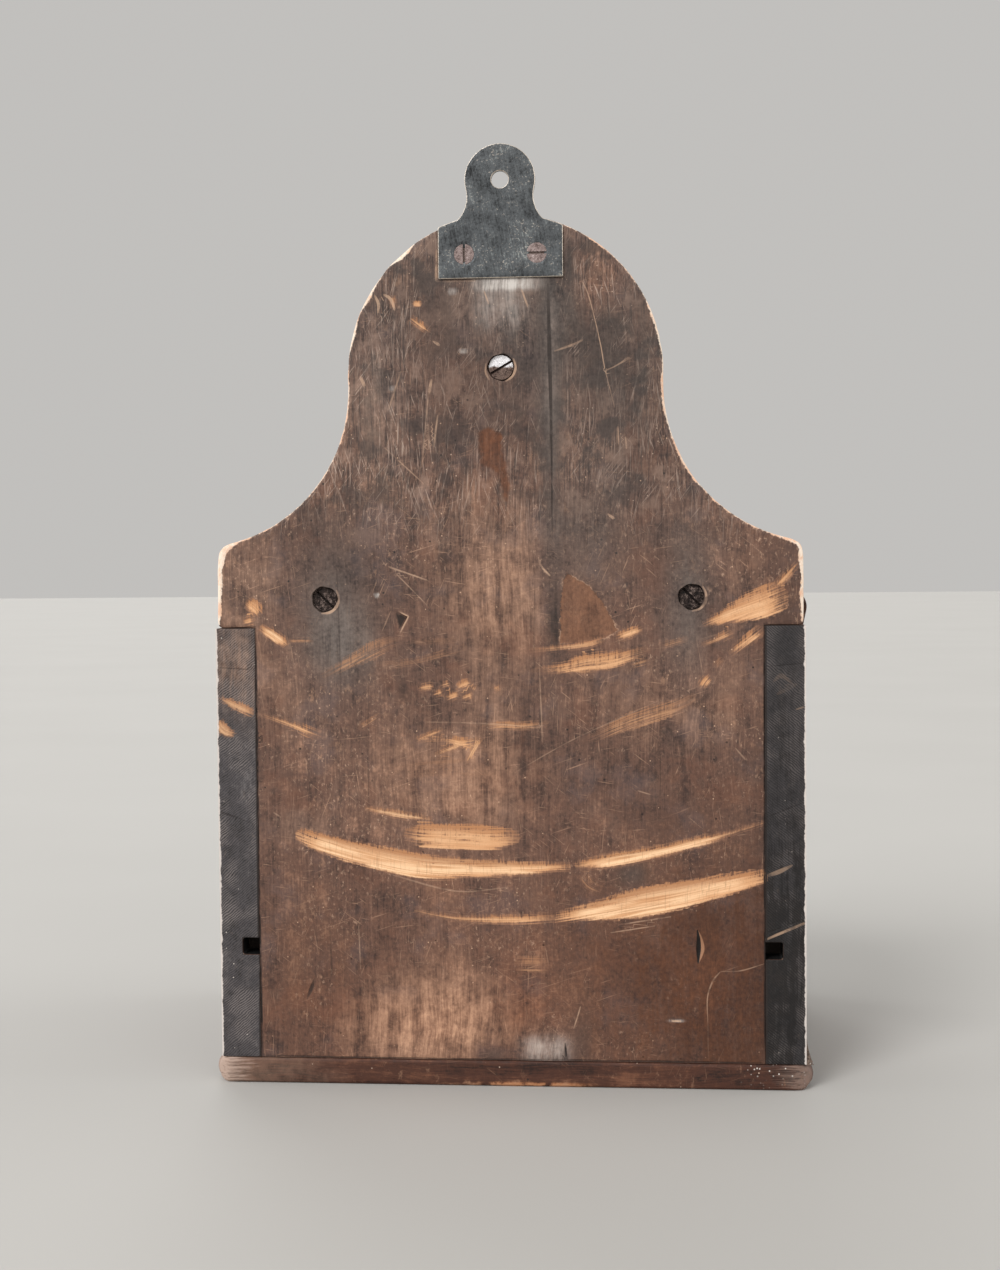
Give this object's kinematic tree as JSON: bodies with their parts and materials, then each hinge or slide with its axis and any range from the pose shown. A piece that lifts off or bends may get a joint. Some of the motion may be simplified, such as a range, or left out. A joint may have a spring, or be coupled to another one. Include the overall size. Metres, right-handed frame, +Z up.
{
  "type": "wall salt box",
  "caption": "Wooden wall salt box with an arched back and brass hanging plate, a sloping hinged lid over the salt compartment and a small drawer below.",
  "frame": {"origin": "middle of the object's box, on the plane the base stands on", "axes": "+Z up, -Y towards the front with the lid and drawer, +Y towards the wall, +X to the right seen from the front"},
  "size_m": [0.226, 0.157, 0.3503],
  "materials": {
    "back_wood": "dark, dry and scraped",
    "side_wood": "dark, dry and worn",
    "case_wood": "dark waxed and worn",
    "inner_wood": "bare and dusty",
    "hinge_brass": "tarnished",
    "hanger_brass": "tarnished",
    "screw_steel": "worn",
    "nail_iron": "dark"
  },
  "bodies": {
    "carcass": {"back_board": "back_wood", "left_side": "side_wood", "right_side": "side_wood", "front_board": "case_wood", "shelf": "inner_wood", "base_board": "case_wood", "hinge_rail": "case_wood", "left_hinge_rail_leaf": "hinge_brass", "right_hinge_rail_leaf": "hinge_brass", "left_hinge_pin": "hinge_brass", "right_hinge_pin": "hinge_brass", "hinge_rail_screws": "screw_steel", "hanger_plate": "hanger_brass", "hanger_screws": "screw_steel", "rail_screws": "screw_steel", "front_boss": "case_wood", "boss_screw": "screw_steel", "side_nails": "nail_iron", "base_nails": "nail_iron"},
    "lid": {"lid": "case_wood", "left_hinge_lid_leaf": "hinge_brass", "right_hinge_lid_leaf": "hinge_brass", "hinge_lid_screws": "screw_steel"},
    "drawer": {"drawer_front": "case_wood", "drawer_left_side": "inner_wood", "drawer_right_side": "inner_wood", "drawer_back": "inner_wood", "drawer_bottom": "inner_wood", "drawer_knob": "case_wood", "drawer_nails": "nail_iron"}
  },
  "joints": [
    {"name": "lid_hinge", "type": "hinge", "parent": "carcass", "child": "lid", "pos_m": [0, 0.0471, 0.18517], "axis": [-1, 0, 0], "range_deg": [0, 121.4]},
    {"name": "drawer_slide", "type": "slide", "parent": "carcass", "child": "drawer", "axis": [0, -1, 0], "range_m": [0, 0.1]}
  ]
}
